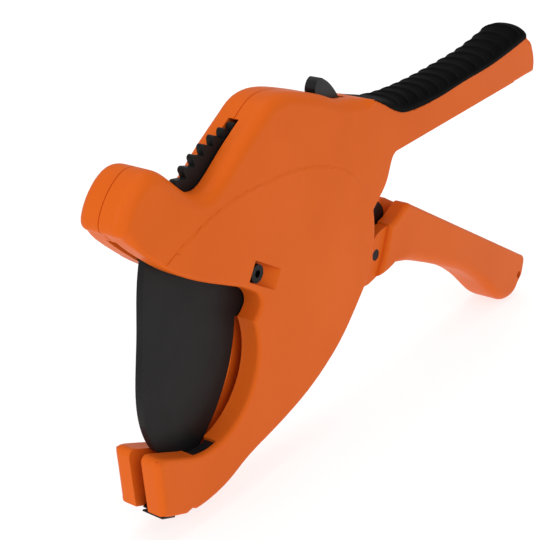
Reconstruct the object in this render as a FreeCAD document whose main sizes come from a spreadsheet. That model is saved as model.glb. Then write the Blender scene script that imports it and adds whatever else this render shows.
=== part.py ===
import FreeCAD, Part
import Sketcher
import math
import os

# Ratcheting pipe cutter. Millimetres, +X towards the handles, +Y across the thickness, +Z up.
# The origin is the centre of the largest pipe that the jaw holds, on the tool's mid-plane.

DOC = FreeCAD.newDocument("PipeCutter")
Vector = FreeCAD.Vector
NEAR, FAR = -1, 1          # the two sides of the mid-plane: -Y and +Y

DIMENSIONS = {
    "half_thickness": 11.0,      # body, mid-plane to outer face
    "slot_half_width": 2.3,      # blade slot
    "crest_round": 3.0,          # outer edges of nose, hump and upper handle
    "grip_round": 3.0,           # rubber crown
    "lower_handle_round": 2.2,
    "edge_round": 1.6,           # outer edges of hook, belly and rear
    "mouth_radius": 30.3,        # half of the largest pipe, plus clearance
    "blade_pivot_x": 32.0,
    "blade_pivot_z": 30.0,
    "blade_thickness": 3.0,
    "blade_reach": 75.4,         # pivot to blade tip
    "tooth_tip_radius": 58.3,
    "tooth_depth": 3.6,
    "tooth_pitch_deg": 6.0,
    "tooth_count": 23.0,
    "sweep_radius": 76.4,        # slot that the blade tip sweeps
    "sector_radius": 59.3,       # slot that the teeth sweep
    "bush_radius": 6.0,
    "bolt_radius": 2.5,
    "bolt_head_radius": 3.7,
    "bolt_head_height": 2.2,
    "bolt_socket_radius": 1.7,
    "bolt_socket_depth": 1.4,
    "recess_depth": 4.4,         # sloping recess over the bolt's head
    "recess_length": 18.4,
    "recess_floor_length": 11.2,
    "recess_width": 8.6,
    "recess_turn_deg": 28.3,
    "nut_depth": 3.4,
    "nut_across_corners": 9.2,
    "running_clearance": 0.04,
    "hinge_x": 95.5,             # lower handle's pivot
    "hinge_z": 6.0,
    "hinge_pin_radius": 3.0,
    "hinge_seat_depth": 1.5,
    "ear_inner": 3.1,            # mid-plane to an ear's inner face
    "ear_outer": 8.1,
    "ear_pocket": 8.4,
    "ear_boss_radius": 8.5,
    "lower_half_width": 10.4,
    "pawl_pin_x": 118.8,
    "pawl_pin_z": 9.4,
    "pawl_pin_radius": 2.6,
    "pawl_thickness": 5.0,
    "pawl_slot": 2.9,
    "lever_pin_x": 84.0,
    "lever_pin_z": 72.5,
    "lever_pin_radius": 2.0,
    "lever_pin_half_length": 7.9,
    "lever_thickness": 5.0,
    "lever_slot": 2.8,
    "screw_shank_radius": 1.6,
    "screw_head_radius": 3.0,
    "screw_head_height": 2.0,
    "screw_socket_radius": 1.45,
    "dowel_radius": 1.5,
    "dowel_half_length": 4.0,
    "face_relief": 0.45,         # step between the lower face and the upper face
    "lanyard_radius": 2.0,
    "handle_bush_radius": 4.2,
    "washer_thickness": 0.7,
    "washer_radius": 6.8,
    "blade_spring_radius": 4.6,
    "blade_spring_wire": 1.1,
    "spring_seat_depth": 6.8,    # mid-plane to the end of the blade spring's seat
    "hinge_spring_radius": 4.4,
    "hinge_spring_wire": 1.2,
    "pawl_spring_radius": 4.0,
    "lever_spring_radius": 3.4,
    "small_spring_wire": 0.9,
    "small_spring_seat": 2.3,    # depth of the seat for a small coil, in pawl and lever
    "hook_slot_half_width": 2.9,
    "insert_half_width": 2.8,
    "pad_outer": 8.5,            # mid-plane to the outer side of an anvil pad
    "pad_top_radius": 31.6,
    "pad_back_radius": 35.0,
}


def make_sheet():
    """Put every driving dimension into a spreadsheet cell with an alias."""
    sheet = DOC.addObject("Spreadsheet::Sheet", "Dimensions")
    for row, (alias, value) in enumerate(DIMENSIONS.items(), start=1):
        sheet.set("A%d" % row, alias.replace("_", " "))
        sheet.set("B%d" % row, repr(value))
        sheet.setAlias("B%d" % row, alias)
    DOC.recompute()
    return sheet


SHEET = make_sheet()


def dim(alias):
    """The value of one driving dimension, read back from the sheet."""
    return float(SHEET.get(alias))


def polar(centre, radius, degrees):
    """A point (x, z) at a radius and angle from a centre, anticlockwise seen from -Y."""
    angle = math.radians(degrees)
    return (centre[0] + radius * math.cos(angle), centre[1] + radius * math.sin(angle))


PIVOT = (dim("blade_pivot_x"), dim("blade_pivot_z"))
HINGE = (dim("hinge_x"), dim("hinge_z"))
PAWL_PIN = (dim("pawl_pin_x"), dim("pawl_pin_z"))
LEVER_PIN = (dim("lever_pin_x"), dim("lever_pin_z"))
LANYARD = (263.6, -48.2)

# ---------------------------------------------------------------- helpers


def new_body(name):
    body = DOC.addObject("PartDesign::Body", name)
    body.Label = name
    return body


def plane(body, role):
    return next(f for f in body.Origin.OriginFeatures if f.Role == role)


def sketch_on(body, name, role="XZ_Plane"):
    sketch = body.newObject("Sketcher::SketchObject", name)
    sketch.AttachmentSupport = [(plane(body, role), "")]
    sketch.MapMode = "FlatFace"
    return sketch


def flat(point):
    return Vector(point[0], point[1], 0)


def end_at(sketch, piece, point):
    """Which end of a sketch piece, 1 or 2, lies at a point."""
    return 1 if (sketch.getPoint(piece, 1) - flat(point)).Length < 1e-4 else 2


def draw(sketch, start, steps):
    """Draw one closed outline: each step is line, arc (through a point) or curve."""
    here, pieces, corners = start, [], []
    for kind, *points in steps:
        if kind == "line":
            piece = Part.LineSegment(flat(here), flat(points[0]))
        elif kind == "arc":
            piece = Part.Arc(flat(here), flat(points[0]), flat(points[1]))
        else:
            piece = Part.BSplineCurve()
            piece.interpolate([flat(p) for p in [here] + points])
        pieces.append(sketch.addGeometry(piece, False))
        here = points[-1]
        corners.append(here)
    if math.dist(here, start) > 1e-6:
        pieces.append(sketch.addGeometry(Part.LineSegment(flat(here), flat(start)), False))
        corners.append(start)
    for one, other, corner in zip(pieces, pieces[1:] + pieces[:1], corners):
        sketch.addConstraint(Sketcher.Constraint(
            "Coincident", one, end_at(sketch, one, corner), other, end_at(sketch, other, corner)))


def circle(sketch, centre, radius):
    sketch.addGeometry(Part.Circle(flat(centre), Vector(0, 0, 1), radius), False)


def polygon(points):
    return points[0], [("line", p) for p in points[1:]]


def extrude(body, sketch, kind, side, expression):
    """Pad or pocket from the mid-plane towards one side, or half each way when side is 0."""
    feature = body.newObject("PartDesign::" + kind, kind + sketch.Name)
    feature.Profile = sketch
    feature.setExpression("Length", expression)
    if side == 0:
        feature.Midplane = True
    else:
        # an XZ sketch's normal is -Y, and a pocket runs against its normal
        feature.Reversed = (side == FAR) if kind == "Pad" else (side == NEAR)
    sketch.Visibility = False
    DOC.recompute()
    return feature


def pad(body, name, outline, side, expression, holes=()):
    sketch = sketch_on(body, name)
    draw(sketch, *outline)
    for centre, radius in holes:
        circle(sketch, centre, radius)
    return extrude(body, sketch, "Pad", side, expression)


def pocket(body, name, side, expression, outlines=(), holes=()):
    """Cut from the mid-plane, and stop if nothing was cut."""
    before = body.Shape.Volume
    sketch = sketch_on(body, name)
    for outline in outlines:
        draw(sketch, *outline)
    for centre, radius in holes:
        circle(sketch, centre, radius)
    feature = extrude(body, sketch, "Pocket", side, expression)
    if body.Shape.Volume > before - 0.01:
        raise ValueError("pocket %s cut nothing" % name)
    return feature


def outer_pocket(body, name, side, surface, depth, outlines=(), holes=()):
    """Cut inwards from an outer face that lies at the alias surface, by the alias depth."""
    before = body.Shape.Volume
    sketch = sketch_on(body, name)
    for outline in outlines:
        draw(sketch, *outline)
    for centre, radius in holes:
        circle(sketch, centre, radius)
    sketch.setExpression("AttachmentOffset.Base.z", "%d * Dimensions.%s" % (-side, surface))
    feature = body.newObject("PartDesign::Pocket", "Pocket" + name)
    feature.Profile = sketch
    feature.setExpression("Length", depth)
    feature.Reversed = side == FAR
    sketch.Visibility = False
    DOC.recompute()
    if body.Shape.Volume > before - 0.01:
        raise ValueError("pocket %s cut nothing" % name)
    return feature


def round_edges(body, name, picks, expression):
    """Fillet the edges that a test on (edge) picks out."""
    base = body.Tip
    edges = ["Edge%d" % (i + 1) for i, e in enumerate(base.Shape.Edges) if picks(e)]
    fillet = body.newObject("PartDesign::Fillet", name)
    fillet.Base = (base, edges)
    fillet.setExpression("Radius", expression)
    DOC.recompute()
    return fillet


def middle(edge):
    return edge.valueAt(0.5 * (edge.FirstParameter + edge.LastParameter))


def on_face(edge, y):
    return all(abs(v.Y - y) < 0.01 for v in edge.Vertexes) and abs(middle(edge).y - y) < 0.01


def along_y(x, y, z):
    """Placement that turns a primitive's axis from Z to Y, with its base at y."""
    return FreeCAD.Placement(Vector(x, y, z), FreeCAD.Rotation(Vector(1, 0, 0), -90))


def cylinder(name, centre, y, radius, height):
    """A pin along Y; radius and height are sheet expressions."""
    rod = DOC.addObject("Part::Cylinder", name)
    rod.Label = name
    rod.setExpression("Radius", radius)
    rod.setExpression("Height", height)
    rod.Placement = along_y(centre[0], y, centre[1])
    return rod


def combine(kind, name, base, tool):
    result = DOC.addObject("Part::" + kind, name)
    result.Label = name
    result.Base = base
    result.Tool = tool
    return result


def hexagon(name, centre, y, circumradius, height):
    prism = DOC.addObject("Part::Prism", name)
    prism.Polygon = 6
    prism.setExpression("Circumradius", circumradius)
    prism.setExpression("Height", height)
    prism.Placement = along_y(centre[0], y, centre[1])
    return prism


def feature(name, shape):
    """A plain feature for what the primitives don't make."""
    holder = DOC.addObject("Part::Feature", name)
    holder.Label = name
    holder.Shape = shape
    return holder


# ---------------------------------------------------------------- outlines

MOUTH = dim("mouth_radius")
CUSP = polar((0, 0), MOUTH, 24)            # where the mouth meets the rounded pocket
MOUTH_END = polar((0, 0), MOUTH, -114)     # where the mouth runs into the hook's straight top
HOOK_TOP = (-30.9, -19.9)
NOSE_CORNER = (-40.2, 66.0)
HANDLE_END = (262.0, 62.4)
CREST_HEIGHT = 66.5                        # edges above this get the crest round
HANDLE_TIP_X = 240.0
GRIP_TAIL = (107.0, 81.4)                  # grip's front end, on top of the body
GRIP_END = (251.4, 81.9)                   # grip's rear end, at the handle's tip
GRIP_LINE = [(112.6, 79.6), (118.4, 76.8), (127, 72.6), (137, 70), (162, 70.3),
             (187, 72.9), (212, 75.1), (232, 78.2)]

HOUSING_OUTLINE = (NOSE_CORNER, [
    ("curve", (-42.8, 68.6), (-42.0, 73.3), (-38.6, 78.9), (-33.8, 83.4), (-28, 85.7),
     (-22.8, 84.8), (-16.8, 80.9), (-11, 76), (-5.2, 71.9), (-1, 70.4), (3, 70.3), (7.2, 72.3),
     (15.9, 79.2), (23.3, 84.8), (31.5, 90.5), (37.5, 94.4), (45, 96.1), (55, 95.1),
     (67.5, 91.9), (78, 88.6), (86.4, 85.3), (96, 83.4), GRIP_TAIL),
    ("curve", *GRIP_LINE, GRIP_END),
    ("curve", (255.2, 80.4), (258.4, 76.4), (262.2, 68), HANDLE_END),
    ("line", (131, 53.8)),
    ("curve", (126.8, 52.2), (124.8, 48.2), (122.2, 42.2), (117, 36.8), (112.2, 32.6)),
    ("curve", (113.7, 20.2), (111.1, 7.2), (104, -3.8)),
    ("curve", (96.8, -11.8), (88, -19.9), (76.7, -27.2), (65.2, -32.8), (54.2, -36.6),
     (43.1, -39.7), (32.1, -42.2), (22.1, -44.9), (12.1, -48.8), (3, -50.9), (-9, -51.4)),
    ("line", (-11.3, -50.1)),
    ("line", (-14.7, -50.6)),
    ("line", (-21.6, -48.1)),
    ("line", (-27.9, -45.5)),
    ("line", HOOK_TOP),
    ("line", MOUTH_END),
    ("arc", polar((0, 0), MOUTH, -45), CUSP),
    ("curve", (30.4, 14.6), (32, 17.4), (31.4, 20.7), (28.2, 24.3)),
    ("curve", (22, 27.9), (12, 32.4), (2, 36.7), (-8, 41.5), (-18, 47.4), (-26, 53.3),
     (-34.7, 60.5), NOSE_CORNER),
])

BLADE_SLOT_START, BLADE_SLOT_END = 126.0, 262.0
PAD_START, PAD_END = -79.0, -106.0         # the anvil pads, as angles around the mouth
EAR_POCKET = [(95.5, -3.1), (130, -3.1), (130, 33.4), (106.5, 33.4), (89.6, 13.2)]
PAWL_SLOT = [(83, 30), (80, 48), (86, 62), (100, 66), (135, 50), (135, -2), (96, -2.4), (86, 8)]
LEVER_SLOT = [(57, 72), (57, 79), (61, 84), (70, 88), (74, 91), (75, 100), (98.2, 100), (99.6, 83.6),
              (102, 78.5), (93, 66), (80, 63)]
RELIEF_LINE = [(-30, 46), (-19, 53), (-8, 57.6), (2, 61.2), (12, 63.8), (24, 65.2), (37, 65.6),
               (50, 65.4), (63, 64), (72, 62), (82, 59), (92, 54.4), (102, 46.6), (116, 30)]

SCREW_PLACES = [(78.5, -17.5), (26.5, -37.2), (112.5, 61.0), (168, 64.2), (236, 70.4)]
DOWEL_PLACES = [polar(PIVOT, 80.3, 145.6), (-16.5, -41.5), (140, 62.3), (89.5, -8.5)]

# ---------------------------------------------------------------- housing


def slot_outline():
    """Blade slot: the teeth's circle joined to the wider sweep of the blade's tip."""
    inner, outer = dim("sector_radius"), dim("sweep_radius")
    start, end = BLADE_SLOT_START, BLADE_SLOT_END
    return (polar(PIVOT, inner, start), [
        ("line", polar(PIVOT, outer, start)),
        ("arc", polar(PIVOT, outer, (start + end) / 2), polar(PIVOT, outer, end)),
        ("line", polar(PIVOT, inner, end)),
        ("arc", polar(PIVOT, inner, end + 120), polar(PIVOT, inner, start)),
    ])


def hook_slot_outline():
    """The hook's two prongs stay apart as far as the front, so chips fall through."""
    return polygon([(-1, -60), (-45, -60), (-45, -14), (-1, -14)])


def sector(inner, outer, start, end):
    """A ring sector around the mouth's centre, between two angles."""
    centre, halfway = (0, 0), (start + end) / 2
    return (polar(centre, inner, start), [
        ("line", polar(centre, outer, start)),
        ("arc", polar(centre, outer, halfway), polar(centre, outer, end)),
        ("line", polar(centre, inner, end)),
        ("arc", polar(centre, inner, halfway), polar(centre, inner, start)),
    ])


def rounded_blank(name, side):
    """Half of the housing as a plate with its outer edges rounded."""
    plate = new_body(name + "_plate")
    pad(plate, name + "_outline", HOUSING_OUTLINE, side, "Dimensions.half_thickness")
    face_y = side * dim("half_thickness")
    rounded = DOC.addObject("Part::Fillet", name + "_rounded")
    rounded.Base = plate
    picked = []
    for number, edge in enumerate(plate.Shape.Edges, start=1):
        if on_face(edge, face_y):
            point = middle(edge)
            crest = point.z > CREST_HEIGHT or point.x > HANDLE_TIP_X
            radius = dim("crest_round" if crest else "edge_round")
            picked.append((number, radius, radius))
    rounded.Edges = picked
    DOC.recompute()
    return rounded


def housing(name, side):
    body = new_body(name)
    body.BaseFeature = rounded_blank(name, side)
    DOC.recompute()
    pocket(body, name + "_blade_slot", side, "Dimensions.slot_half_width", [slot_outline()])
    pocket(body, name + "_hook_slot", side, "Dimensions.hook_slot_half_width",
           [hook_slot_outline()])
    pocket(body, name + "_pad_recess", side, "Dimensions.pad_outer",
           [sector(MOUTH - 2, dim("pad_back_radius"), PAD_START, PAD_END)])
    pocket(body, name + "_ear_pocket", side, "Dimensions.ear_pocket", [polygon(EAR_POCKET)])
    pocket(body, name + "_ear_boss_pocket", side, "Dimensions.ear_pocket",
           holes=[(HINGE, dim("ear_boss_radius") + 0.6)])
    pocket(body, name + "_pawl_slot", side, "Dimensions.pawl_slot", [polygon(PAWL_SLOT)])
    pocket(body, name + "_lever_slot", side, "Dimensions.lever_slot", [polygon(LEVER_SLOT)])
    relief = (RELIEF_LINE[0], [("curve", *RELIEF_LINE[1:]), ("line", (150, 30)),
                               ("line", (290, 60)), ("line", (290, 120)),
                               ("line", (-60, 120)), ("line", (-60, 46))])
    outer_pocket(body, name + "_face_relief", side, "half_thickness",
                 "Dimensions.face_relief", [relief])
    hinge_hole = dim("hinge_pin_radius") + dim("running_clearance")
    pocket(body, name + "_hinge_bore", side, "Dimensions.half_thickness - 0.9",
           holes=[(HINGE, hinge_hole)])
    pocket(body, name + "_lever_bore", side, "Dimensions.half_thickness - 3",
           holes=[(LEVER_PIN, dim("lever_pin_radius") + 0.02)])
    pocket(body, name + "_bolt_bore", side, "Dimensions.half_thickness + 1",
           holes=[(PIVOT, dim("bolt_radius") + 0.05)])
    pocket(body, name + "_dowel_bores", side, "Dimensions.dowel_half_length + 0.3",
           holes=[(place, dim("dowel_radius")) for place in DOWEL_PLACES])
    if side == NEAR:
        near_details(body, name)
    else:
        far_details(body, name)
    return body


def near_details(body, name):
    """Sloping recess over the pivot bolt's head, and blind screw holes."""
    wedge = body.newObject("PartDesign::SubtractiveWedge", name + "_recess")
    wedge.Xmin = wedge.X2min = wedge.Ymin = wedge.Zmin = wedge.Z2min = 0
    wedge.setExpression("Xmax", "Dimensions.recess_length")
    wedge.setExpression("X2max", "Dimensions.recess_floor_length")
    wedge.setExpression("Zmax", "Dimensions.recess_width")
    wedge.setExpression("Z2max", "Dimensions.recess_width")
    wedge.setExpression("Ymax", "Dimensions.recess_depth + 0.01")
    wedge.Placement = FreeCAD.Placement(
        Vector(24.2, -dim("half_thickness") - 0.01, 29.6),
        FreeCAD.Rotation(Vector(0, 1, 0), dim("recess_turn_deg")))
    DOC.recompute()
    pocket(body, name + "_screw_bores", NEAR, "Dimensions.half_thickness - 2.5",
           holes=[(place, dim("screw_shank_radius")) for place in SCREW_PLACES])


def far_details(body, name):
    """Through holes and head seats for the screws, the nut and the hinge pin's head."""
    pocket(body, name + "_screw_bores", FAR, "Dimensions.half_thickness + 1",
           holes=[(place, dim("screw_shank_radius") + 0.15) for place in SCREW_PLACES])
    outer_pocket(body, name + "_screw_seats", FAR, "half_thickness",
                 "Dimensions.screw_head_height + 0.6",
                 holes=[(place, dim("screw_head_radius") + 0.25) for place in SCREW_PLACES])
    outer_pocket(body, name + "_hinge_seat", FAR, "half_thickness",
                 "Dimensions.hinge_seat_depth", holes=[(HINGE, dim("hinge_pin_radius") + 2.2)])
    coil = dim("blade_spring_radius")
    pocket(body, name + "_spring_seat", FAR, "Dimensions.spring_seat_depth",
           holes=[(PIVOT, coil + 0.9), (PIVOT, coil - 0.9)])
    corners = [polar(PIVOT, dim("nut_across_corners") / 2 + 0.1, 60 * i) for i in range(6)]
    outer_pocket(body, name + "_nut_seat", FAR, "half_thickness",
                 "Dimensions.nut_depth + 0.6", [polygon(corners)])


# ---------------------------------------------------------------- grip and insert

GRIP_TOP = [(249, 87.4), (243, 87.8), (232, 85), (215, 81.2), (195, 78.8), (175, 77.1),
            (157, 76.3), (141, 76.3), (129, 77.3), (119, 79.6)]


def upper_grip():
    """Rubber cap along the top of the upper handle."""
    body = new_body("upper_grip")
    outline = (GRIP_TAIL, [("curve", *GRIP_LINE, GRIP_END),
                           ("curve", (251.6, 85), *GRIP_TOP[:1]),
                           ("curve", *GRIP_TOP[1:], GRIP_TAIL)])
    sketch = sketch_on(body, "grip_outline")
    draw(sketch, *outline)
    extrude(body, sketch, "Pad", 0, "2 * Dimensions.half_thickness")
    side = dim("half_thickness")
    round_edges(body, "grip_round",
                lambda e: abs(middle(e).y) > side - 0.01 and is_above_grip_line(middle(e)),
                "Dimensions.grip_round")
    return body


def is_above_grip_line(point):
    """True on the rubber's crown, False on the flat seam where it meets the handle."""
    seam = Part.BSplineCurve()
    seam.interpolate([Vector(x, 0, z) for x, z in [GRIP_TAIL] + GRIP_LINE + [GRIP_END]])
    return seam.toShape().distToShape(Part.Vertex(Vector(point.x, 0, point.z)))[0] > 0.5


def jaw_insert():
    """Black chip plate between the prongs, at the hook's underside."""
    body = new_body("jaw_insert")
    outline = polygon([(-24.4, -47.4), (-21.6, -48.6), (-14.7, -51.1), (-9, -50.4), (-6, -46),
                       (-9, -43.8), (-19.4, -45.4)])
    sketch = sketch_on(body, "insert_outline")
    draw(sketch, *outline)
    extrude(body, sketch, "Pad", 0, "2 * Dimensions.insert_half_width")
    lip = polygon([(-27.5, -45.72), (-20.6, -48.5), (-20.8, -49.1), (-27.8, -46.3)])
    pad(body, "insert_lip", lip, NEAR, "Dimensions.half_thickness - 1.4")
    return body


def anvil_pads():
    """Black pads either side of the blade's slot, sunk a little below the mouth's surface."""
    outline = sector(dim("pad_top_radius"), dim("pad_back_radius") - 0.05,
                     PAD_START - 0.1, PAD_END + 0.1)
    body = new_body("anvil_pads_master")
    pad(body, "anvil_pad_outline", outline, NEAR,
        "Dimensions.pad_outer - Dimensions.hook_slot_half_width - 0.1")
    gap = dim("hook_slot_half_width") + 0.05
    near = body.Shape.translated(Vector(0, -gap, 0))
    far = near.translated(Vector(0, dim("pad_outer") + gap - 0.05, 0))
    return feature("anvil_pads", Part.makeCompound([near, far]))


# ---------------------------------------------------------------- blade

FIRST_TOOTH = 131.0        # angle of the last tooth towards the nose, blade at rest


def tooth_flanks(index):
    """One rounded ratchet tooth: steep drive flank, rounded tip and sloping back."""
    tip, root = dim("tooth_tip_radius"), dim("tooth_tip_radius") - dim("tooth_depth")
    pitch = dim("tooth_pitch_deg")
    angle = FIRST_TOOTH - index * pitch
    return [
        ("line", polar(PIVOT, tip - 0.9, angle - 0.05 * pitch)),
        ("arc", polar(PIVOT, tip, angle - 0.22 * pitch),
         polar(PIVOT, tip - 0.5, angle - 0.42 * pitch)),
        ("line", polar(PIVOT, root + 0.5, angle - 0.86 * pitch)),
        ("arc", polar(PIVOT, root, angle - 0.95 * pitch), polar(PIVOT, root + 0.7, angle - pitch)),
    ]


BLADE_TIP = polar(PIVOT, dim("blade_reach"), 243.0)
HEEL = (27.0, 12.4)         # where the cutting edge starts, beside the pivot


def blade():
    body = new_body("blade")
    root = dim("tooth_tip_radius") - dim("tooth_depth")
    reach = dim("blade_reach")
    count = int(dim("tooth_count"))
    last = FIRST_TOOTH - count * dim("tooth_pitch_deg")
    start = polar(PIVOT, root + 0.7, FIRST_TOOTH)
    steps = []
    for index in range(count):
        steps += tooth_flanks(index)
    steps += [
        ("curve", polar(PIVOT, 49, last + 3), polar(PIVOT, 38, last + 6.5),
         polar(PIVOT, 25, last + 3), polar(PIVOT, 17.6, -40), polar(PIVOT, 17, -75), HEEL),
        ("curve", (26.0, 4), (23.4, -6), (17.4, -18), (9.6, -28), BLADE_TIP),
        ("arc", polar(PIVOT, reach, 235), polar(PIVOT, reach, 226)),
        ("curve", (-24.8, -15.4), (-27.0, -4), (-26.6, 9.5), (-25.2, 24.5), (-24.6, 36),
         polar(PIVOT, 58.6, 156)),
        ("arc", polar(PIVOT, 58.4, 145), polar(PIVOT, root + 2.6, FIRST_TOOTH + 1.2)),
    ]
    steps.append(("line", start))
    bore = dim("bush_radius") + dim("running_clearance")
    pad(body, "blade_outline", (start, steps), 0, "Dimensions.blade_thickness",
        holes=[(PIVOT, bore)])
    return body


# ---------------------------------------------------------------- lower handle and its parts


def lower_handle():
    body = new_body("lower_handle")
    boss = dim("ear_boss_radius")
    grip = ((127.8, 21.2), [
        ("curve", (132.6, 22.4), (138, 25.2), (141.6, 26.6), (145, 25.6)),
        ("line", (266.6, -37.8)),
        ("curve", (269.4, -39.9), (269.8, -42.4)),
        ("curve", (267.4, -51.4), (262.6, -57.6), (255.6, -59.4), (246, -57.1)),
        ("curve", (238.6, -52.6), (232, -47.4), (223, -40.0), (210.4, -31.2), (197.4, -24),
         (184, -17.9), (171, -12.1), (160, -7.6), (150, -3.7), (141, -0.8), (133.6, 1.4)),
        ("curve", (128.8, 0.2), (124, -0.6), (119.4, -0.6)),
        ("curve", (122.6, 5.4), (125.6, 13.4), (127.8, 21.2)),
    ])
    pad(body, "grip_block", grip, 0, "2 * Dimensions.lower_half_width")
    ears = (polar(HINGE, boss, 118), [
        ("arc", polar(HINGE, boss, 200), polar(HINGE, boss, 270)),
        ("line", (114, HINGE[1] - boss)),
        ("line", (134, 2)),
        ("line", (146, 21)),
        ("line", (136.4, 21.6)),
        ("curve", (131, 20.4), (124.6, 20), (117.6, 17.6)),
    ])
    half = dim("lower_half_width")
    round_edges(body, "grip_round",
                lambda e: (on_face(e, half) or on_face(e, -half)),
                "Dimensions.lower_handle_round")
    pad(body, "ear_block", ears, 0, "2 * Dimensions.ear_outer")
    gap = polygon([(80, -10), (136, -10), (146, 4), (158, 14), (158, 40), (80, 40)])
    pocket(body, "fork_gap", 0, "2 * Dimensions.ear_inner", [gap])
    pocket(body, "bush_bore", 0, "2 * Dimensions.half_thickness",
           holes=[(HINGE, dim("handle_bush_radius"))])
    pocket(body, "pawl_pin_bore", 0, "2 * Dimensions.half_thickness",
           holes=[(PAWL_PIN, dim("pawl_pin_radius"))])
    pocket(body, "lanyard_bore", 0, "2 * Dimensions.half_thickness + 2",
           holes=[(LANYARD, dim("lanyard_radius"))])
    return body


PAWL_TIP = polar(PIVOT, dim("tooth_tip_radius") + 0.35, 12.0)


def drive_pawl():
    """Broad plate on the lower handle that pushes the blade's teeth."""
    body = new_body("drive_pawl")
    outline = ((PAWL_PIN[0] + 6.0, PAWL_PIN[1] - 1.4), [
        ("curve", (128.6, 13.6), (132.6, 19.2), (133.6, 23.6), (131.6, 27.4), (125, 31.4)),
        ("curve", (116, 35.2), (106, 39.6), (96.6, 44.6)),
        ("line", (91.4, 45.6)),
        ("line", PAWL_TIP),
        ("line", (92.8, 37.4)),
        ("curve", (101, 29.4), (107.6, 20.4), (112.6, 11)),
        ("arc", (PAWL_PIN[0] - 1.2, PAWL_PIN[1] - 6.0), (PAWL_PIN[0] + 6.0, PAWL_PIN[1] - 1.4)),
    ])
    pad(body, "pawl_outline", outline, 0, "Dimensions.pawl_thickness",
        holes=[(PAWL_PIN, dim("pawl_pin_radius") + dim("running_clearance"))])
    outer_pocket(body, "pawl_spring_seat", FAR, "pawl_thickness / 2",
                 "Dimensions.small_spring_seat",
                 holes=[(PAWL_PIN, dim("pawl_spring_radius") + 0.9)])
    return body


def release_lever():
    """Thumb lever whose nose holds the teeth between strokes."""
    body = new_body("release_lever")
    tip = polar(PIVOT, dim("tooth_tip_radius") + 0.35, 55.0)
    outline = ((79, 84.2), [
        ("line", (78.4, 89.4)),
        ("curve", (79.2, 92.2), (81.2, 93.9), (84, 93.4)),
        ("curve", (88.8, 90.4), (94, 85.2), (98.2, 78.8)),
        ("curve", (95.6, 72.6), (90.4, 68), (84, 66.6)),
        ("curve", (79, 67.2), (75.2, 70), (71.2, 74.4)),
        ("line", tip),
        ("line", (66.6, 82.2)),
        ("line", (71.4, 82.2)),
    ])
    pad(body, "lever_outline", outline, 0, "Dimensions.lever_thickness",
        holes=[(LEVER_PIN, dim("lever_pin_radius") + dim("running_clearance"))])
    outer_pocket(body, "lever_spring_seat", FAR, "lever_thickness / 2",
                 "Dimensions.small_spring_seat",
                 holes=[(LEVER_PIN, dim("lever_spring_radius") + 0.9)])
    return body


# ---------------------------------------------------------------- pins, bolts and washers


def pivot_bolt():
    """Button-head bolt through both halves, with a hexagon socket."""
    seat = -dim("half_thickness") + dim("recess_depth")
    head = cylinder("bolt_head", PIVOT, seat - dim("bolt_head_height"),
                    "Dimensions.bolt_head_radius", "Dimensions.bolt_head_height")
    length = "2 * Dimensions.half_thickness - Dimensions.recess_depth - 1"
    shank = cylinder("bolt_shank", PIVOT, seat, "Dimensions.bolt_radius", length)
    solid = combine("Fuse", "bolt_blank", head, shank)
    socket = hexagon("bolt_socket", PIVOT, seat - dim("bolt_head_height"),
                     "Dimensions.bolt_socket_radius", "Dimensions.bolt_socket_depth")
    return combine("Cut", "blade_pivot_bolt", solid, socket)


def pivot_nut():
    top = dim("half_thickness") - 0.6
    nut = hexagon("nut_blank", PIVOT, top - dim("nut_depth"),
                  "Dimensions.nut_across_corners / 2", "Dimensions.nut_depth")
    hole = cylinder("nut_hole", PIVOT, top - dim("nut_depth") - 1,
                    "Dimensions.bolt_radius + 0.02", "Dimensions.nut_depth + 2")
    return combine("Cut", "blade_pivot_nut", nut, hole)


def ring(name, centre, y, outer, inner, height):
    """A washer or bush along Y; its three sizes are sheet expressions."""
    disc = cylinder(name + "_disc", centre, y, outer, height)
    hole = cylinder(name + "_hole", centre, y, inner, height)
    return combine("Cut", name, disc, hole)


def two_sided(name, ring_object, offset):
    """The same ring on both sides of the mid-plane, as one node of two solids."""
    base = ring_object.Shape
    shift = -base.BoundBox.YMin
    near = base.translated(Vector(0, shift - offset - base.BoundBox.YLength, 0))
    far = base.translated(Vector(0, shift + offset, 0))
    return feature(name, Part.makeCompound([near, far]))


def hinge_pin():
    """Headed pin: the head sits flush in the far half, the end in the near half's bore."""
    top = dim("half_thickness") - dim("hinge_seat_depth")
    start = -dim("half_thickness") + 1.1
    shank = cylinder("hinge_shank", HINGE, start, "Dimensions.hinge_pin_radius",
                     "2 * Dimensions.half_thickness - 2.6")
    head = cylinder("hinge_head", HINGE, top, "Dimensions.hinge_pin_radius + 2",
                    "Dimensions.hinge_seat_depth - 0.1")
    return combine("Fuse", "handle_pivot_pin", shank, head)


def housing_screws():
    """Five socket-head screws from the far side, as one node of separate solids."""
    seat = dim("half_thickness") - dim("screw_head_height") - 0.6
    head = cylinder("screw_head", (0, 0), seat, "Dimensions.screw_head_radius",
                    "Dimensions.screw_head_height")
    shank = cylinder("screw_shank", (0, 0), -6.5, "Dimensions.screw_shank_radius",
                     "%g mm" % (seat + 6.5))
    blank = combine("Fuse", "screw_blank", head, shank)
    socket = hexagon("screw_socket", (0, 0), seat + 0.7,
                     "Dimensions.screw_socket_radius", "Dimensions.screw_head_height")
    screw = combine("Cut", "screw_master", blank, socket)
    DOC.recompute()
    copies = [screw.Shape.translated(Vector(x, 0, z)) for x, z in SCREW_PLACES]
    return feature("housing_screws", Part.makeCompound(copies))


def alignment_dowels():
    length = 2 * dim("dowel_half_length")
    pins = [Part.makeCylinder(dim("dowel_radius"), length, Vector(x, -length / 2, z),
                              Vector(0, 1, 0)) for x, z in DOWEL_PLACES]
    return feature("alignment_dowels", Part.makeCompound(pins))


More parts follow.
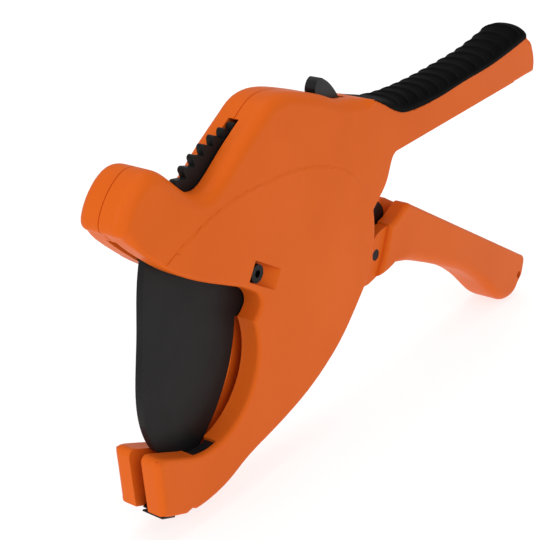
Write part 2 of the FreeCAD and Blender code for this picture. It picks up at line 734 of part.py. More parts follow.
def coil_spring(name, centre, radius, wire, turns, pitch, y_start):
    """A torsion spring's coil, wound along Y."""
    helix = Part.makeHelix(pitch, pitch * turns, radius)
    profile = Part.Wire([Part.makeCircle(wire / 2, Vector(radius, 0, 0), Vector(0, 1, 0))])
    coil = Part.Wire(helix.Edges).makePipeShell([profile], True, True)
    coil.Placement = along_y(centre[0], y_start, centre[1])
    return feature(name, coil)


def small_coil(name, centre, radius, thickness):
    """Torsion coil in the seat on the far side of the pawl or the lever."""
    wire = dim("small_spring_wire")
    start = dim(thickness) / 2 - dim("small_spring_seat") + 0.6
    return coil_spring(name, centre, dim(radius), wire, 1.2, 1.0, start)


def pins_and_springs():
    washer = ring("washer_master", PIVOT, 0, "Dimensions.washer_radius",
                  "Dimensions.bush_radius + 0.05",
                  "Dimensions.washer_thickness")
    bush = ring("handle_bush_master", HINGE, 0, "Dimensions.handle_bush_radius",
                "Dimensions.hinge_pin_radius + Dimensions.running_clearance",
                "Dimensions.ear_outer - Dimensions.ear_inner - 0.1")
    DOC.recompute()
    hinge_wire = dim("hinge_spring_wire")
    blade_coil_start = dim("slot_half_width") + 0.7
    return [
        ring("blade_bush", PIVOT, -dim("slot_half_width"), "Dimensions.bush_radius",
             "Dimensions.bolt_radius + 0.03", "2 * Dimensions.slot_half_width"),
        two_sided("blade_washers", washer, dim("blade_thickness") / 2 + 0.05),
        two_sided("handle_bushes", bush, dim("ear_inner") + 0.05),
        cylinder("drive_pawl_pin", PAWL_PIN, -dim("ear_outer"), "Dimensions.pawl_pin_radius",
                 "2 * Dimensions.ear_outer"),
        cylinder("release_lever_pin", LEVER_PIN, -dim("lever_pin_half_length"),
                 "Dimensions.lever_pin_radius", "2 * Dimensions.lever_pin_half_length"),
        coil_spring("blade_return_spring", PIVOT, dim("blade_spring_radius"),
                    dim("blade_spring_wire"), 2.1, 1.3, blade_coil_start),
        coil_spring("handle_spring", HINGE, dim("hinge_spring_radius"), hinge_wire, 2.5, 1.6,
                    -2.0),
        small_coil("drive_pawl_spring", PAWL_PIN, "pawl_spring_radius", "pawl_thickness"),
        small_coil("release_lever_spring", LEVER_PIN, "lever_spring_radius", "lever_thickness"),
    ]


# ---------------------------------------------------------------- build


def build_all():
    parts = [housing("right_housing", NEAR), housing("left_housing", FAR)]
    parts += [upper_grip(), jaw_insert(), anvil_pads(), blade(), lower_handle(), drive_pawl(), release_lever()]
    parts += [pivot_bolt(), pivot_nut(), hinge_pin(), housing_screws(), alignment_dowels()]
    parts += pins_and_springs()
    return parts


PARTS = build_all()
DOC.recompute()


def check_and_export(parts):
    broken = [o.Name for o in DOC.Objects if "Invalid" in o.State or "Error" in o.State]
    if broken:
        raise RuntimeError("failed objects: " + ", ".join(broken))
    os.makedirs("parts", exist_ok=True)
    for part in parts:
        shape = part.Shape
        if shape.isNull() or not shape.isValid():
            raise RuntimeError("bad shape: " + part.Label)
        shape.exportStep(os.path.join("parts", part.Label + ".step"))
        print("%-20s solids %d  volume %9.1f" % (part.Label, len(shape.Solids), shape.Volume))


check_and_export(PARTS)
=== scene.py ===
import bmesh
import bpy
import math
import numpy as np
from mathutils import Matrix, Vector, kdtree


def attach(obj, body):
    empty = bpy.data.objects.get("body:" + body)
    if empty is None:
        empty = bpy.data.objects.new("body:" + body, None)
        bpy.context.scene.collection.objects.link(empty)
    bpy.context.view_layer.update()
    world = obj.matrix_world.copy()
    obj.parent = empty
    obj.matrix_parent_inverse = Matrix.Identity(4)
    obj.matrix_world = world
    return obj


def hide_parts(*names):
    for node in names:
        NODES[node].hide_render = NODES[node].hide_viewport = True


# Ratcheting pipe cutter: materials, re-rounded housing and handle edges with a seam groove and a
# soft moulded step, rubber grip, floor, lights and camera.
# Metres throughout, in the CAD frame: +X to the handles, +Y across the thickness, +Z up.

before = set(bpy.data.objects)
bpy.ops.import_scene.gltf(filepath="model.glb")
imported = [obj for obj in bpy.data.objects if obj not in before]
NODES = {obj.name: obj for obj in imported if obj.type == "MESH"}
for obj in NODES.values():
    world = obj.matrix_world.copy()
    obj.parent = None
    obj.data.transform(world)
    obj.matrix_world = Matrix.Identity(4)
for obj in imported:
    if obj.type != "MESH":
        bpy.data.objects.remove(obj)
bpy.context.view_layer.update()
MM = 0.001

# ---------------------------------------------------------------- camera

SENSOR_WIDTH = 36
CAMERA_AT = Vector((-0.32603, -0.27430, 0.21583))
CAMERA_AIM = Vector((0.74806, 0.54267, -0.38199))
LENS = 85.66


def add_camera():
    data = bpy.data.cameras.new("camera")
    data.lens, data.sensor_width = LENS, SENSOR_WIDTH
    data.clip_start, data.clip_end = 0.01, 20
    camera = bpy.data.objects.new("camera", data)
    camera.location = CAMERA_AT
    camera.rotation_mode = "QUATERNION"
    camera.rotation_quaternion = CAMERA_AIM.to_track_quat("-Z", "Y")
    bpy.context.scene.collection.objects.link(camera)
    bpy.context.scene.camera = camera


# ---------------------------------------------------------------- material helpers


class Shader:
    """Builds one node material, keeping the calls that make nodes short."""

    def __init__(self, name):
        self.material = bpy.data.materials.new(name)
        self.material.use_nodes = True
        self.tree = self.material.node_tree
        self.bsdf = self.tree.nodes["Principled BSDF"]
        self.coord = self.tree.nodes.new("ShaderNodeTexCoord").outputs["Object"]

    def add(self, kind, **settings):
        node = self.tree.nodes.new("ShaderNode" + kind)
        for key, value in settings.items():
            setattr(node, key, value)
        return node

    def link(self, source, target):
        self.tree.links.new(source, target)

    def noise(self, scale, detail=4.0, roughness=0.55):
        node = self.add("TexNoise")
        node.inputs["Scale"].default_value = scale
        node.inputs["Detail"].default_value = detail
        node.inputs["Roughness"].default_value = roughness
        self.link(self.coord, node.inputs["Vector"])
        return node.outputs["Fac"]

    def ramp(self, value, stops):
        """Colour ramp: stops are (position, (r, g, b))."""
        node = self.add("ValToRGB")
        ramp = node.color_ramp
        while len(ramp.elements) < len(stops):
            ramp.elements.new(0.5)
        for element, (position, colour) in zip(ramp.elements, stops):
            element.position = position
            element.color = (*colour, 1)
        self.link(value, node.inputs["Fac"])
        return node.outputs["Color"]

    def scale_range(self, value, low, high):
        node = self.add("MapRange")
        node.inputs["To Min"].default_value = low
        node.inputs["To Max"].default_value = high
        self.link(value, node.inputs["Value"])
        return node.outputs["Result"]

    def bump(self, *layers):
        """Stacked bumps: each layer is (height, strength, distance)."""
        normal = None
        for height, strength, distance in layers:
            node = self.add("Bump")
            node.inputs["Strength"].default_value = strength
            node.inputs["Distance"].default_value = distance
            self.link(height, node.inputs["Height"])
            if normal is not None:
                self.link(normal, node.inputs["Normal"])
            normal = node.outputs["Normal"]
        self.link(normal, self.bsdf.inputs["Normal"])

    def constant(self, **values):
        for name, value in values.items():
            self.bsdf.inputs[name.replace("_", " ")].default_value = value


# ---------------------------------------------------------------- materials


def orange_coat():
    """Satin powder coat with a fine orange peel."""
    s = Shader("orange_coat")
    tone = s.ramp(s.noise(18, 3), [(0.3, (0.69, 0.116, 0.009)), (0.7, (0.74, 0.130, 0.012))])
    s.link(tone, s.bsdf.inputs["Base Color"])
    s.link(s.scale_range(s.noise(60, 5), 0.36, 0.46), s.bsdf.inputs["Roughness"])
    s.bump((s.noise(900, 3), 0.10, 0.00008), (s.noise(160, 2), 0.08, 0.00015))
    s.constant(IOR=1.14)
    return s.material


def blade_coat():
    """Black low-friction coating over the blade: slight blotches and a fine grain."""
    s = Shader("blade_coat")
    tone = s.ramp(s.noise(45, 6),
                  [(0.3, (0.0085, 0.0085, 0.0087)), (0.75, (0.013, 0.013, 0.0133))])
    s.link(tone, s.bsdf.inputs["Base Color"])
    s.link(s.scale_range(s.noise(120, 5), 0.34, 0.50), s.bsdf.inputs["Roughness"])
    s.bump((s.noise(700, 4), 0.10, 0.00006))
    s.constant(IOR=1.2)
    return s.material


def rubber():
    """Matte black rubber with a fine moulded grain."""
    s = Shader("grip_rubber")
    tone = s.ramp(s.noise(80, 4), [(0.3, (0.0012, 0.0012, 0.0012)), (0.8, (0.003, 0.003, 0.003))])
    s.link(tone, s.bsdf.inputs["Base Color"])
    s.link(s.scale_range(s.noise(200, 4), 0.50, 0.68), s.bsdf.inputs["Roughness"])
    s.bump((s.noise(1400, 2), 0.25, 0.00010))
    s.constant(IOR=1.1)
    return s.material


def plastic():
    """Satin black plastic for the lever and the jaw's inserts."""
    s = Shader("black_plastic")
    tone = s.ramp(s.noise(50, 4), [(0.3, (0.008, 0.008, 0.009)), (0.8, (0.018, 0.018, 0.019))])
    s.link(tone, s.bsdf.inputs["Base Color"])
    s.link(s.scale_range(s.noise(150, 4), 0.32, 0.46), s.bsdf.inputs["Roughness"])
    s.bump((s.noise(1100, 2), 0.12, 0.00006))
    s.constant(IOR=1.3)
    return s.material


def steel(name, dark, light, rough):
    """Machined steel with a fine grain."""
    s = Shader(name)
    tone = s.ramp(s.noise(90, 5), [(0.3, (dark,) * 3), (0.75, (light,) * 3)])
    s.link(tone, s.bsdf.inputs["Base Color"])
    s.link(s.scale_range(s.noise(300, 4), rough, rough + 0.14), s.bsdf.inputs["Roughness"])
    s.bump((s.noise(1500, 3), 0.15, 0.00005))
    s.constant(Metallic=1.0)
    return s.material


def bronze():
    """Speckled sintered bronze for the bushes."""
    s = Shader("sintered_bronze")
    tone = s.ramp(s.noise(400, 3), [(0.35, (0.30, 0.17, 0.06)), (0.7, (0.48, 0.30, 0.13))])
    s.link(tone, s.bsdf.inputs["Base Color"])
    s.link(s.scale_range(s.noise(300, 4), 0.38, 0.55), s.bsdf.inputs["Roughness"])
    s.bump((s.noise(1200, 3), 0.3, 0.0001))
    s.constant(Metallic=1.0)
    return s.material


def paint(material, *names):
    """Give CAD nodes their only material."""
    for name in names:
        slots = NODES[name].data.materials
        slots.clear()
        slots.append(material)


ORANGE, BLADE, RUBBER, PLASTIC = orange_coat(), blade_coat(), rubber(), plastic()
DARK_STEEL = steel("black_oxide_steel", 0.012, 0.03, 0.42)
BRIGHT_STEEL = steel("ground_steel", 0.42, 0.60, 0.24)
BRONZE = bronze()

paint(ORANGE, "right_housing", "left_housing", "lower_handle")
paint(BLADE, "blade")
paint(RUBBER, "upper_grip")
paint(PLASTIC, "jaw_insert", "anvil_pads", "release_lever")
paint(DARK_STEEL, "drive_pawl", "drive_pawl_pin", "blade_pivot_bolt", "handle_pivot_pin",
      "housing_screws")
paint(BRIGHT_STEEL, "blade_pivot_nut", "blade_washers", "alignment_dowels", "release_lever_pin",
      "blade_return_spring", "handle_spring", "drive_pawl_spring", "release_lever_spring")
paint(BRONZE, "blade_bush", "handle_bushes")

# ---------------------------------------------------------------- refined meshes

SAME_PLACE = 0.01 * MM          # heights closer than this are the same height
WELD = 0.002 * MM
WALL_TILT, EDGE_TILT = 0.2, 0.9  # most of the normal along Y, on a wall and on a rounded edge
POINTS_AT_ONCE = 2000
ON_OUTLINE = 0.08 * MM
REFINE_REACH, LONGEST_EDGE = 7 * MM, 1.3 * MM
MOST_SPLITS = 11
ROUND_BOX = 6.0 * MM            # square at each outer edge inside which it is rounded again
SKIN_SLACK = 0.3 * MM
TIGHT_SLACK = 0.1 * MM
HOOK_HEIGHT = -10.0 * MM        # below this the outline's own slack is as wide as the skin's
FLAT_FROM = 0.9995              # faces this square to Y are shaded flat


def copy_node(node, name):
    """A copy of a CAD node's mesh in world coordinates, as a new object."""
    source = NODES[node]
    mesh = source.data.copy()
    mesh.transform(source.matrix_world)
    obj = bpy.data.objects.new(name, mesh)
    bpy.context.scene.collection.objects.link(obj)
    return obj


def all_triangles(bm):
    bmesh.ops.triangulate(bm, faces=[f for f in bm.faces if len(f.verts) > 3])


def point_array(mesh):
    points = np.empty(len(mesh.vertices) * 3)
    mesh.vertices.foreach_get("co", points)
    return points.reshape(-1, 3)


def crest_segments(bm, heights):
    """Edges where a side wall runs into its rounded edge: (one end, other end, inward)."""
    found = []
    for edge in bm.edges:
        faces = edge.link_faces
        one, other = (v.co for v in edge.verts)
        if len(faces) != 2 or abs(one.y - other.y) > SAME_PLACE:
            continue
        if min(abs(abs(one.y) - height) for height in heights) > SAME_PLACE:
            continue
        walls = [f for f in faces if abs(f.calc_center_median().y) < abs(one.y)]
        tilts = [abs(f.normal.y) for f in faces]
        if len(walls) == 1 and min(tilts) < WALL_TILT and max(tilts) < EDGE_TILT:
            normal = walls[0].normal
            found.append((one.x, one.z, other.x, other.z, -normal.x, -normal.z))
    return np.array(found)


def nearest_on(segments, points):
    """Distance to the outline, unit direction inwards from it, and the nearest point."""
    start, end, inward = segments[:, 0:2], segments[:, 2:4], segments[:, 4:6]
    run = end - start
    square = np.maximum((run ** 2).sum(1), 1e-16)
    distance, direction, places = [], [], []
    for chunk in np.array_split(points, max(1, len(points) // POINTS_AT_ONCE)):
        offset = chunk[:, None, :] - start[None]
        share = np.clip((offset * run).sum(2) / square, 0, 1)
        closest = start + share[..., None] * run
        gap = np.linalg.norm(chunk[:, None, :] - closest, axis=2)
        pick = gap.argmin(1)
        rows = np.arange(len(chunk))
        place, size = closest[rows, pick], gap[rows, pick]
        away = (chunk - place) / np.maximum(size, 1e-9)[:, None]
        wall = inward[pick]
        sign = np.sign((away * wall).sum(1))
        use_wall = (size < ON_OUTLINE) | (sign <= 0)
        distance.append(np.where(use_wall, size * sign, size))
        direction.append(np.where(use_wall[:, None], wall, away))
        places.append(place)
    return np.concatenate(distance), np.concatenate(direction), np.concatenate(places)


def refine(bm, segments, low):
    """Split long edges near the outline, at heights above low."""
    steps = []
    for row in segments:
        one, other = Vector((row[0], 0, row[1])), Vector((row[2], 0, row[3]))
        count = max(2, int((other - one).length / LONGEST_EDGE) + 1)
        steps += [one.lerp(other, i / (count - 1)) for i in range(count)]
    tree = kdtree.KDTree(len(steps))
    for index, place in enumerate(steps):
        tree.insert(place, index)
    tree.balance()

    def near(vert):
        return (abs(vert.co.y) > low
                and tree.find(Vector((vert.co.x, 0, vert.co.z)))[2] < REFINE_REACH)

    for _ in range(MOST_SPLITS):
        marked = {v for v in bm.verts if near(v)}
        long = [e for e in bm.edges if e.calc_length() > LONGEST_EDGE
                and (e.verts[0] in marked or e.verts[1] in marked)]
        if not long:
            break
        bmesh.ops.subdivide_edges(bm, edges=long, cuts=1)
        all_triangles(bm)


def corner_reach(angle, box, radius):
    """Distance from (box, box) to a square corner rounded by radius, along an angle."""
    cosine, sine = np.cos(angle), np.sin(angle)
    flat = box / np.maximum(cosine, sine)
    shift = box - radius
    along = (cosine + sine) * shift
    arc = along + np.sqrt(np.maximum(along ** 2 - 2 * shift ** 2 + radius ** 2, 0))
    on_arc = np.minimum(cosine, sine) * flat > shift
    return np.where(on_arc, arc, flat)


def reround(obj, segments, top, face, built, wanted, select, box=ROUND_BOX):
    """Move the rounded outer edges from their built radius to the wanted one."""
    mesh = obj.data
    points = point_array(mesh)
    zone = np.where(np.abs(points[:, 1]) > top - box)[0]
    distance, inward, places = nearest_on(segments, points[zone][:, [0, 2]])
    level = top - np.abs(points[zone, 1])
    slack = np.where(places[:, 1] < HOOK_HEIGHT, SKIN_SLACK, TIGHT_SLACK)
    inside = (distance > -slack) & (distance < box) & select(places)
    zone, distance, level = zone[inside], np.maximum(distance[inside], 0), level[inside]
    inward, places = inward[inside], places[inside]
    angle = np.arctan2(box - level, box - distance)
    expected = corner_reach(angle, box, built(places))
    cut = (top - face) / np.maximum(np.sin(angle), 0.05)
    now = np.hypot(box - level, box - distance)
    on_skin = now > expected - cut - SKIN_SLACK
    level = np.maximum(level - (top - face), 0)
    angle = np.arctan2(box - level, box - distance)
    target = corner_reach(angle, box, wanted(places))
    new_distance = (box - target * np.cos(angle))[on_skin]
    new_level = (box - target * np.sin(angle))[on_skin]
    keep = zone[on_skin]
    moved = places[on_skin] + inward[on_skin] * new_distance[:, None]
    points[keep, 0], points[keep, 2] = moved[:, 0], moved[:, 1]
    points[keep, 1] = np.sign(points[keep, 1]) * (face - new_level)
    mesh.vertices.foreach_set("co", points.ravel())
    mesh.update()


def smooth_shade(obj, degrees):
    """Smooth faces, with edges sharper than the angle kept crisp."""
    mesh = obj.data
    bm = bmesh.new()
    bm.from_mesh(mesh)
    limit = math.radians(degrees)
    for edge in bm.edges:
        edge.smooth = len(edge.link_faces) == 2 and edge.calc_face_angle(0) < limit
    for face in bm.faces:
        face.smooth = abs(face.normal.y) < FLAT_FROM
    bm.to_mesh(mesh)
    bm.free()


def ease(value, low, high):
    """Smooth step from 0 at low to 1 at high."""
    share = np.clip((value - low) / (high - low), 0, 1)
    return share * share * (3 - 2 * share)


# ---------------------------------------------------------------- housing halves

HALF_THICKNESS = 11.0 * MM
RELIEF_FACE = 10.55 * MM
LOWER_FACE = 10.8 * MM          # shown face below the moulded step, so that the step is shallow
RAMP_ABOVE, RAMP_BELOW = 0.9 * MM, 0.5 * MM
CREST_BUILT, EDGE_BUILT = 3.0 * MM, 1.6 * MM
CREST_HEIGHT, HANDLE_TIP = 66.5 * MM, 240.0 * MM
STEP_FOOT = (-23.0 * MM, 45.0 * MM)         # where the step meets the nose's lower edge
STEP_FROM, STEP_TO = (-16.0 * MM, 50.0 * MM), (103.0 * MM, 66.4 * MM)   # (x, z) of its soft part
SEAM_DEPTH, SEAM_HALF_WIDTH = 0.8 * MM, 0.25 * MM
STEP_SLACK = 0.05 * MM
HOUSING_REFINED_FROM = 4.5 * MM
SMOOTH_BELOW = 32               # degrees between faces


def is_crest(places):
    """Outline of the nose, the hump and the handle's end, which CAD rounds most."""
    return (places[:, 1] > CREST_HEIGHT) | (places[:, 0] > HANDLE_TIP)


def is_relieved(places):
    """Outline above the moulded step, where the face lies lower."""
    return is_crest(places) | ((places[:, 0] < STEP_FOOT[0]) & (places[:, 1] > STEP_FOOT[1]))


def housing_built(places):
    return np.where(is_crest(places), CREST_BUILT, EDGE_BUILT)


def housing_wanted(places):
    """Full round on nose and hump, crisp under the grip, soft at the hook's front."""
    x, z = places[:, 0], places[:, 1]
    radius = (1.8 + 3.2 * ease(z, 0.060, 0.070)) * MM
    under_grip = ease(x, 0.104, 0.112) * ease(z, 0.066, 0.068) * (1 - ease(x, 0.250, 0.253))
    radius += (0.4 * MM - radius) * under_grip
    tip = ease(x, 0.254, 0.258)
    radius += (2.0 * MM - radius) * tip
    front = (1 - ease(x, -0.030, -0.024)) * (1 - ease(z, -0.021, -0.015))
    return radius + (3.4 * MM - radius) * front


def detailed_half(node, name):
    """A housing half with its outer edges rounded again, a seam groove and a soft step."""
    obj = copy_node(node, name)
    bm = bmesh.new()
    bm.from_mesh(obj.data)
    bmesh.ops.remove_doubles(bm, verts=bm.verts, dist=WELD)
    everything = bm.verts[:] + bm.edges[:] + bm.faces[:]
    side = -1 if node == "right_housing" else 1
    bmesh.ops.bisect_plane(bm, geom=everything, plane_co=(0, side * SEAM_HALF_WIDTH, 0),
                           plane_no=(0, 1, 0))
    all_triangles(bm)
    bm.normal_update()
    segments = crest_segments(bm, (HALF_THICKNESS - CREST_BUILT, HALF_THICKNESS - EDGE_BUILT))
    refine(bm, segments, HOUSING_REFINED_FROM)
    bm.to_mesh(obj.data)
    bm.free()
    reround(obj, segments, HALF_THICKNESS, RELIEF_FACE, housing_built, housing_wanted,
            is_relieved)
    reround(obj, segments, HALF_THICKNESS, HALF_THICKNESS, housing_built, housing_wanted,
            lambda places: ~is_relieved(places))
    sink_seam_and_face(obj.data, segments)
    soften_step(obj.data)
    round_hook_point(obj.data)
    smooth_shade(obj, SMOOTH_BELOW)
    obj.data.materials.clear()
    obj.data.materials.append(ORANGE)
    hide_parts(node)
    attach(obj, "housing")


def sink_seam_and_face(mesh, segments):
    """Groove where the halves meet, and a slightly lower face below the moulded step."""
    points = point_array(mesh)
    seam = np.where(np.abs(points[:, 1]) < SAME_PLACE)[0]
    distance, inward, _ = nearest_on(segments, points[seam][:, [0, 2]])
    rim = np.abs(distance) < TIGHT_SLACK
    points[seam[rim], 0] += inward[rim, 0] * SEAM_DEPTH
    points[seam[rim], 2] += inward[rim, 1] * SEAM_DEPTH
    height = np.abs(points[:, 1])
    above = height > RELIEF_FACE
    share = (height[above] - RELIEF_FACE) / (HALF_THICKNESS - RELIEF_FACE)
    points[above, 1] = (np.sign(points[above, 1])
                        * (RELIEF_FACE + share * (LOWER_FACE - RELIEF_FACE)))
    mesh.vertices.foreach_set("co", points.ravel())
    mesh.update()


def is_on_step(place):
    """Leaves out the step's two ends, where it runs into the rounded edge and the ear pocket."""
    return STEP_FROM[0] < place.x < STEP_TO[0] and STEP_FROM[1] < place.z < STEP_TO[1]


HOOK_POINT, HOOK_BACK, HOOK_FOOT = (-30.9, -19.9), (-12.3, -27.7), (-27.9, -45.5)
HOOK_ROUND, HOOK_CUTS = 2.3 * MM, 9
HOOK_NEAR = 9 * MM              # faces this close to the corner are cut so that they can bend


def round_hook_point(mesh):
    """Round the hook's free corner in side view, through its full thickness."""
    corner, back, foot = (np.array(p) * MM for p in (HOOK_POINT, HOOK_BACK, HOOK_FOOT))
    to_back = (back - corner) / np.linalg.norm(back - corner)
    to_foot = (foot - corner) / np.linalg.norm(foot - corner)
    half_angle = math.acos(to_back @ to_foot) / 2
    middle = (to_back + to_foot) / (2 * math.cos(half_angle))
    centre = corner + middle * HOOK_ROUND / math.sin(half_angle)
    across = np.array([-middle[1], middle[0]])
    reach = math.pi / 2 - half_angle
    farthest = 1.1 * np.linalg.norm(corner - centre)
    bm = bmesh.new()
    bm.from_mesh(mesh)
    for turn in np.linspace(-reach, reach, HOOK_CUTS):
        close = [f for f in bm.faces
                 if any((v.co.xz - Vector(corner)).length < HOOK_NEAR for v in f.verts)]
        around = {e for f in close for e in f.edges} | {v for f in close for v in f.verts}
        normal = across * math.cos(turn) + middle * math.sin(turn)
        bmesh.ops.bisect_plane(bm, geom=close + list(around), plane_co=(centre[0], 0, centre[1]),
                               plane_no=(normal[0], 0, normal[1]))
    all_triangles(bm)
    for vert in bm.verts:
        offset = np.array(vert.co.xz) - centre
        turn = math.atan2(offset @ across, -offset @ middle)
        if abs(turn) < reach and np.linalg.norm(offset) < farthest:
            sharp = HOOK_ROUND / math.cos(reach - abs(turn))
            vert.co.x, vert.co.z = centre + offset * HOOK_ROUND / sharp
    bm.to_mesh(mesh)
    bm.free()


def soften_step(mesh):
    """Turn the moulded step across the face into a narrow ramp."""
    bm = bmesh.new()
    bm.from_mesh(mesh)
    bm.normal_update()
    shift = {}
    for face in bm.faces:
        if not is_on_step(face.calc_center_median()):
            continue
        heights = [abs(v.co.y) for v in face.verts]
        if (abs(face.normal.y) < WALL_TILT and abs(max(heights) - LOWER_FACE) < SAME_PLACE
                and abs(min(heights) - RELIEF_FACE) < SAME_PLACE):
            for vert in face.verts:
                low = abs(vert.co.y) < LOWER_FACE - STEP_SLACK
                move = RAMP_BELOW if low else -RAMP_ABOVE
                shift.setdefault(vert, []).append(face.normal * move)
    for vert, moves in shift.items():
        mean = sum(moves, Vector()) / len(moves)
        vert.co.x += mean.x
        vert.co.z += mean.z
    bm.to_mesh(mesh)
    bm.free()


detailed_half("right_housing", "near_half")
detailed_half("left_housing", "far_half")

# ---------------------------------------------------------------- lower handle

HANDLE_TOP, HANDLE_BUILT = 10.4 * MM, 2.2 * MM
HANDLE_REFINED_FROM = 4.0 * MM
HANDLE_ROOT = 100 * MM          # the ears, nearer than this, keep their own edges


def handle_wanted(places):
    """Softer along the underside, where the fingers go, than along the top."""
    x, z = places[:, 0], places[:, 1]
    middle_line = 0.012 - (x - 0.140) * 0.50
    under = 1 - ease(z - middle_line, -0.004, 0.004)
    return (2.0 + 2.8 * under * ease(x, 0.130, 0.150)) * MM


def detailed_handle():
    """The lower handle with its outer edges rounded again."""
    obj = copy_node("lower_handle", "squeeze_handle")
    bm = bmesh.new()
    bm.from_mesh(obj.data)
    bmesh.ops.remove_doubles(bm, verts=bm.verts, dist=WELD)
    bm.normal_update()
    segments = crest_segments(bm, (HANDLE_TOP - HANDLE_BUILT,))
    refine(bm, segments, HANDLE_REFINED_FROM)
    bm.to_mesh(obj.data)
    bm.free()
    reround(obj, segments, HANDLE_TOP, HANDLE_TOP,
            lambda places: np.full(len(places), HANDLE_BUILT), handle_wanted,
            lambda places: places[:, 0] > HANDLE_ROOT)
    smooth_shade(obj, SMOOTH_BELOW)
    obj.data.materials.clear()
    obj.data.materials.append(ORANGE)
    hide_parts("lower_handle")
    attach(obj, "lower_handle")


detailed_handle()

# ---------------------------------------------------------------- rubber grip

SEAM_POINTS = [(110.4, 80.3), (113.2, 79.3), (118.4, 76.8), (127, 72.6), (137, 70), (162, 70.3),
               (187, 72.9), (212, 75.1), (232, 78.2), (251.4, 81.9)]
CROWN_POINTS = [(110.4, 80.3), (119, 78.7), (129, 76.7), (141, 76.1), (157, 76.1), (175, 76.9),
                (195, 78.6), (215, 81.0), (232, 84.6), (243, 87.6), (248.6, 87.6), (251.4, 84.6)]
RIB_COUNT, RIB_FIRST, RIB_PITCH = 14, 0.14, 0.0605
RIB_HEIGHT, RIB_HALF_WIDTH = 0.75 * MM, 0.013
GRIP_STATIONS, GRIP_COLUMNS = 420, 57
GRIP_LENGTH, GRIP_TIP, GRIP_DROP = 145 * MM, 3.0 * MM, 6.2 * MM
GRIP_HALF_WIDTH = HALF_THICKNESS - 0.1 * MM


def curve_points(points, count):
    """Points evenly spaced along a smooth curve through (x, z) millimetre points."""
    p = np.array([points[0]] + list(points) + [points[-1]], float)
    dense = []
    for i in range(1, len(p) - 2):
        for t in np.linspace(0, 1, 24, endpoint=False):
            dense.append(0.5 * ((2 * p[i]) + (p[i + 1] - p[i - 1]) * t
                                + (2 * p[i - 1] - 5 * p[i] + 4 * p[i + 1] - p[i + 2]) * t ** 2
                                + (3 * p[i] - p[i - 1] - 3 * p[i + 1] + p[i + 2]) * t ** 3))
    dense = np.array(dense + [p[-2]])
    along = np.concatenate([[0], np.cumsum(np.linalg.norm(np.diff(dense, axis=0), axis=1))])
    even = np.linspace(0, along[-1], count)
    return np.stack([np.interp(even, along, dense[:, k]) for k in (0, 1)], 1) * MM


def rib_height(share, across):
    """Height of the ribs at a share of the length and across the crown from -1 to 1."""
    height = 0
    for index in range(RIB_COUNT):
        offset = (share - RIB_FIRST - index * RIB_PITCH) / RIB_HALF_WIDTH
        height = height + np.exp(-offset ** 2 * 2.2)
    return RIB_HEIGHT * height * (1 - ease(np.abs(across), 0.62, 0.80))


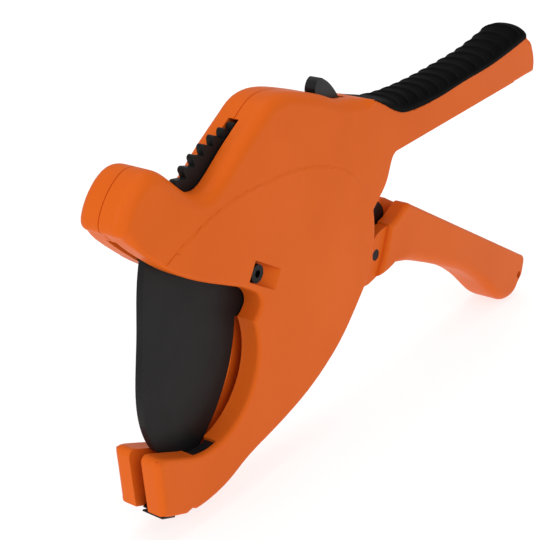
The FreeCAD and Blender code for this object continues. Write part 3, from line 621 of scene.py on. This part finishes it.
def rubber_grip():
    """Crowned rubber cap with transverse ribs that fade out part-way down its sides."""
    stations = GRIP_STATIONS
    seam, crown = curve_points(SEAM_POINTS, stations), curve_points(CROWN_POINTS, stations)
    share = np.linspace(0, 1, stations)
    height = np.linalg.norm(crown - seam, axis=1)
    past_tip = np.maximum(GRIP_TIP - np.minimum(share, 1 - share) * GRIP_LENGTH, 0)
    inset = GRIP_TIP - np.sqrt(np.maximum(GRIP_TIP ** 2 - past_tip ** 2, 0))
    width = GRIP_HALF_WIDTH - inset * np.where(share < 0.5, 0.1, 1.0)
    drop = np.minimum(GRIP_DROP, height * 0.80)
    up = (crown - seam) / np.maximum(height, 1e-6)[:, None]
    verts, faces = [], []
    for across in np.linspace(-1, 1, GRIP_COLUMNS):
        bend = across * math.pi / 2
        side = np.sign(across) * abs(math.sin(bend)) ** 0.86
        lift = height - drop * (1 - abs(math.cos(bend)) ** 1.1)
        ribs = rib_height(share, across * np.ones(stations)) * np.minimum(1, height / (4 * MM))
        spot = seam + up * (lift + ribs * math.cos(bend))[:, None]
        y = side * width + ribs * math.sin(bend) * 0.5
        verts.append(np.stack([spot[:, 0], np.clip(y, -width, width), spot[:, 1]], 1))
    for sign in (1, -1):
        low = seam - up * 0.25 * MM
        verts.append(np.stack([low[:, 0], sign * width, low[:, 1]], 1))
    rows = len(verts)
    verts = np.concatenate(verts)
    for row in range(rows):
        other = (row + 1) % rows
        for i in range(stations - 1):
            a, b = row * stations + i, other * stations + i
            faces.append((a, b, b + 1, a + 1))
    for end in (0, stations - 1):
        ring = [row * stations + end for row in range(rows)]
        faces.append(ring if end == 0 else ring[::-1])
    mesh = bpy.data.meshes.new("ribbed_grip")
    mesh.from_pydata([tuple(v) for v in verts], [], faces)
    obj = bpy.data.objects.new("ribbed_grip", mesh)
    bpy.context.scene.collection.objects.link(obj)
    bm = bmesh.new()
    bm.from_mesh(mesh)
    bmesh.ops.recalc_face_normals(bm, faces=bm.faces)
    bm.to_mesh(mesh)
    bm.free()
    smooth_shade(obj, 50)
    mesh.materials.append(RUBBER)
    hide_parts("upper_grip")
    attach(obj, "housing")


rubber_grip()

# ---------------------------------------------------------------- floor and lights

FLOOR_HEIGHT, FLOOR_SIZE = -0.0602, 12
FLOOR_GREY, FLOOR_GLOW = 0.40, 0.72     # the glow keeps the floor white with little bounced colour
WORLD_STRENGTH = 0.5
LIGHTS = {                              # place, size and power
    "key": ((-1.3, -2.2, 1.9), 1.8, 21),
    "top": ((0.3, 0.4, 3.0), 2.2, 26),
    "left": ((-2.4, 0.3, 1.2), 1.2, 16),
}
LIGHTS_AIM = (0.1, 0, 0.02)


def add_floor():
    """Plain pale floor, wide enough to fill the camera's view."""
    bpy.ops.mesh.primitive_plane_add(size=FLOOR_SIZE, location=(0.1, 0.1, FLOOR_HEIGHT))
    floor = bpy.context.object
    floor.name = "floor"
    s = Shader("floor_white")
    s.constant(Base_Color=(FLOOR_GREY, FLOOR_GREY, FLOOR_GREY, 1), Roughness=0.95,
               Specular_IOR_Level=0.1, Emission_Color=(1, 1, 1, 1), Emission_Strength=FLOOR_GLOW)
    floor.data.materials.append(s.material)


def area_light(name, place, aim, size, power):
    data = bpy.data.lights.new(name, "AREA")
    data.shape, data.size, data.energy = "SQUARE", size, power
    lamp = bpy.data.objects.new(name, data)
    lamp.location = place
    lamp.rotation_mode = "QUATERNION"
    lamp.rotation_quaternion = (Vector(aim) - Vector(place)).to_track_quat("-Z", "Y")
    bpy.context.scene.collection.objects.link(lamp)


def add_lights():
    world = bpy.data.worlds.new("studio")
    bpy.context.scene.world = world
    bpy.context.scene.view_settings.view_transform = "Standard"
    world.use_nodes = True
    background = world.node_tree.nodes["Background"]
    background.inputs["Color"].default_value = (1, 1, 1, 1)
    background.inputs["Strength"].default_value = WORLD_STRENGTH
    for name, (place, size, power) in LIGHTS.items():
        area_light(name, place, LIGHTS_AIM, size, power)


add_camera()
add_floor()
add_lights()
